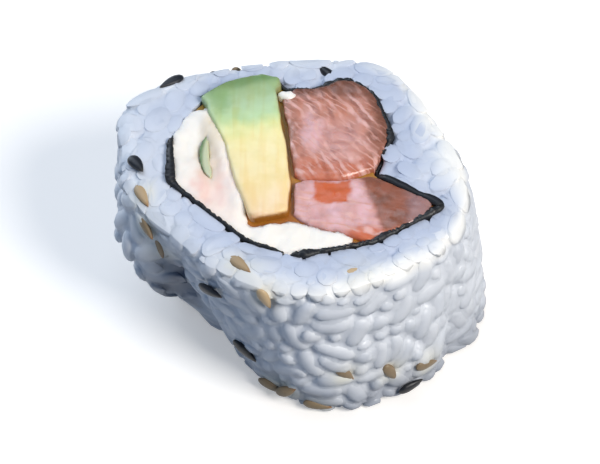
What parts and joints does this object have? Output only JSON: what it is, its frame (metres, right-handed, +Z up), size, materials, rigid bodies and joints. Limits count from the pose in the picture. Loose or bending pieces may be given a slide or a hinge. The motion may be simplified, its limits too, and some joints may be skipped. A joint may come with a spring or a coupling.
{
  "type": "uramaki roll",
  "caption": "Slice of inside-out sushi roll: rice ring round a nori wrap, filled with avocado, salmon, cream cheese and a spring onion sliver, standing on a cut face.",
  "frame": {"origin": "centre of the slice's footprint box, on the surface it stands on", "axes": "+Z up, from the lower cut face to the upper one; +X to the side where the nori wrap comes to a point; +Y to the side where the avocado's green skin edge lies"},
  "size_m": [0.0456, 0.0392, 0.0238],
  "materials": {
    "rice": "moist satin",
    "nori": "satin",
    "avocado": "smooth satin, green towards the skin edge",
    "salmon": "moist gloss",
    "cream_cheese": "smooth satin",
    "spring_onion": "satin",
    "black_sesame": "satin",
    "toasted_sesame": "satin"
  },
  "bodies": {
    "root": {"rice": "rice", "nori": "nori", "avocado": "avocado", "salmon_back": "salmon", "salmon_front": "salmon", "cream_cheese": "cream_cheese", "spring_onion": "spring_onion"}
  },
  "joints": []
}
